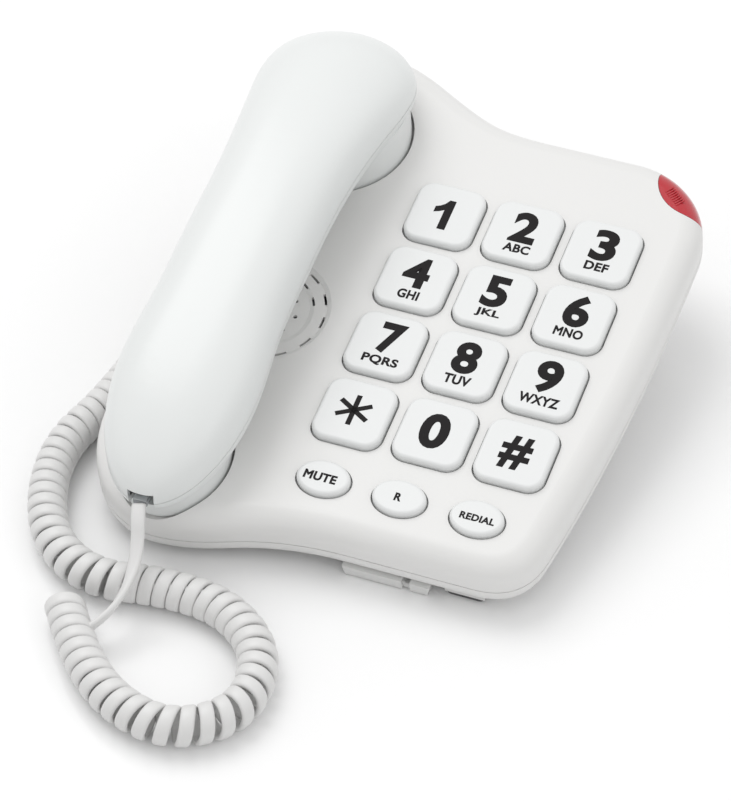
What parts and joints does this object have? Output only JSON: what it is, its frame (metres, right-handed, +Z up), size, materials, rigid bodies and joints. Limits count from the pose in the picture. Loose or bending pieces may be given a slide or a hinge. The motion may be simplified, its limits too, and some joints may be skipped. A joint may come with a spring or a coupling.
{
  "type": "corded desk telephone",
  "caption": "Sloping white desk telephone with large number keys, oval function buttons, a cradled handset and a curly handset cord.",
  "frame": {"origin": "on the table surface, under the middle of the telephone's outline without its handset cord", "axes": "+Z up, -Y towards the user, +X towards the keypad side"},
  "size_m": [0.1902, 0.297, 0.0858],
  "materials": {
    "casing_white": "satin white ABS",
    "handset_white": "satin white ABS",
    "key_white": "satin white, black printed legends",
    "button_white": "satin white, black printed legends",
    "stand_white": "matt white ABS",
    "foot_rubber": "matt grey rubber",
    "screw_steel": "zinc-plated",
    "mat_rubber": "translucent grey silicone",
    "board_green": "green solder mask",
    "component_black": "black moulded",
    "lens_red": "translucent red acrylic",
    "led_clear": "clear epoxy",
    "speaker_grey": "stamped steel",
    "ballast_steel": "plain steel",
    "socket_black": "black nylon",
    "plug_clear": "clear polycarbonate",
    "cord_white": "soft white PVC",
    "foam_dark": "open-cell foam",
    "boot_rubber": "black rubber",
    "plunger_white": "white nylon",
    "slider_white": "black nylon"
  },
  "bodies": {
    "base": {"base_top_cover": "casing_white", "base_bottom_cover": "casing_white", "desk_stand": "stand_white", "rubber_feet": "foot_rubber", "cover_screws": "screw_steel", "keypad_mat": "mat_rubber", "main_board": "board_green", "board_screws": "screw_steel", "board_parts": "component_black", "indicator_lens": "lens_red", "indicator_led": "led_clear", "ringer_speaker": "speaker_grey", "ballast_plate": "ballast_steel", "hook_switch": "component_black", "hook_spring": "ballast_steel", "handset_jack": "socket_black", "line_jack": "socket_black", "ringer_switch": "component_black", "base_plug": "plug_clear", "cord_coil": "cord_white", "cord_tail_handset": "cord_white", "cord_tail_base": "cord_white"},
    "handset": {"handset_outer_shell": "handset_white", "handset_inner_shell": "handset_white", "handset_screws": "screw_steel", "receiver": "speaker_grey", "receiver_ring": "foam_dark", "microphone": "component_black", "microphone_boot": "boot_rubber", "handset_weight": "ballast_steel", "handset_socket": "socket_black", "handset_plug": "plug_clear"},
    "hook_plunger": {"hook_plunger": "plunger_white"},
    "ringer_slider": {"ringer_slider": "slider_white"},
    "key_1": {"key_1": "key_white"},
    "key_2": {"key_2": "key_white"},
    "key_3": {"key_3": "key_white"},
    "key_4": {"key_4": "key_white"},
    "key_5": {"key_5": "key_white"},
    "key_6": {"key_6": "key_white"},
    "key_7": {"key_7": "key_white"},
    "key_8": {"key_8": "key_white"},
    "key_9": {"key_9": "key_white"},
    "key_star": {"key_star": "key_white"},
    "key_0": {"key_0": "key_white"},
    "key_hash": {"key_hash": "key_white"},
    "mute_button": {"mute_button": "button_white"},
    "recall_button": {"recall_button": "button_white"},
    "redial_button": {"redial_button": "button_white"}
  },
  "joints": [
    {"name": "handset_lift", "type": "slide", "parent": "base", "child": "handset", "axis": [0, 0, 1], "range_m": [0, 0.05]},
    {"name": "hook_travel", "type": "slide", "parent": "base", "child": "hook_plunger", "axis": [0, -0.1736, 0.9848], "range_m": [0, 0.004], "deforming": ["hook_spring"]},
    {"name": "ringer_switch_slide", "type": "slide", "parent": "base", "child": "ringer_slider", "axis": [1, 0, 0], "range_m": [-0.002, 0.002]},
    {"name": "key_1_press", "type": "slide", "parent": "base", "child": "key_1", "axis": [0, 0.1736, -0.9848], "range_m": [0, 0.0014], "stiffness_N_per_m": 400, "springref_m": -0.0006},
    {"name": "key_2_press", "type": "slide", "parent": "base", "child": "key_2", "axis": [0, 0.1736, -0.9848], "range_m": [0, 0.0014], "stiffness_N_per_m": 400, "springref_m": -0.0006},
    {"name": "key_3_press", "type": "slide", "parent": "base", "child": "key_3", "axis": [0, 0.1736, -0.9848], "range_m": [0, 0.0014], "stiffness_N_per_m": 400, "springref_m": -0.0006},
    {"name": "key_4_press", "type": "slide", "parent": "base", "child": "key_4", "axis": [0, 0.1736, -0.9848], "range_m": [0, 0.0014], "stiffness_N_per_m": 400, "springref_m": -0.0006},
    {"name": "key_5_press", "type": "slide", "parent": "base", "child": "key_5", "axis": [0, 0.1736, -0.9848], "range_m": [0, 0.0014], "stiffness_N_per_m": 400, "springref_m": -0.0006},
    {"name": "key_6_press", "type": "slide", "parent": "base", "child": "key_6", "axis": [0, 0.1736, -0.9848], "range_m": [0, 0.0014], "stiffness_N_per_m": 400, "springref_m": -0.0006},
    {"name": "key_7_press", "type": "slide", "parent": "base", "child": "key_7", "axis": [0, 0.1736, -0.9848], "range_m": [0, 0.0014], "stiffness_N_per_m": 400, "springref_m": -0.0006},
    {"name": "key_8_press", "type": "slide", "parent": "base", "child": "key_8", "axis": [0, 0.1736, -0.9848], "range_m": [0, 0.0014], "stiffness_N_per_m": 400, "springref_m": -0.0006},
    {"name": "key_9_press", "type": "slide", "parent": "base", "child": "key_9", "axis": [0, 0.1736, -0.9848], "range_m": [0, 0.0014], "stiffness_N_per_m": 400, "springref_m": -0.0006},
    {"name": "key_star_press", "type": "slide", "parent": "base", "child": "key_star", "axis": [0, 0.1736, -0.9848], "range_m": [0, 0.0014], "stiffness_N_per_m": 400, "springref_m": -0.0006},
    {"name": "key_0_press", "type": "slide", "parent": "base", "child": "key_0", "axis": [0, 0.1736, -0.9848], "range_m": [0, 0.0014], "stiffness_N_per_m": 400, "springref_m": -0.0006},
    {"name": "key_hash_press", "type": "slide", "parent": "base", "child": "key_hash", "axis": [0, 0.1736, -0.9848], "range_m": [0, 0.0014], "stiffness_N_per_m": 400, "springref_m": -0.0006},
    {"name": "mute_button_press", "type": "slide", "parent": "base", "child": "mute_button", "axis": [0, 0.1736, -0.9848], "range_m": [0, 0.0014], "stiffness_N_per_m": 400, "springref_m": -0.0006},
    {"name": "recall_button_press", "type": "slide", "parent": "base", "child": "recall_button", "axis": [0, 0.1736, -0.9848], "range_m": [0, 0.0014], "stiffness_N_per_m": 400, "springref_m": -0.0006},
    {"name": "redial_button_press", "type": "slide", "parent": "base", "child": "redial_button", "axis": [0, 0.1736, -0.9848], "range_m": [0, 0.0014], "stiffness_N_per_m": 400, "springref_m": -0.0006}
  ],
  "couplings": [
    {"joint": "hook_travel", "follows": "handset_lift", "ratio": 0.08}
  ]
}
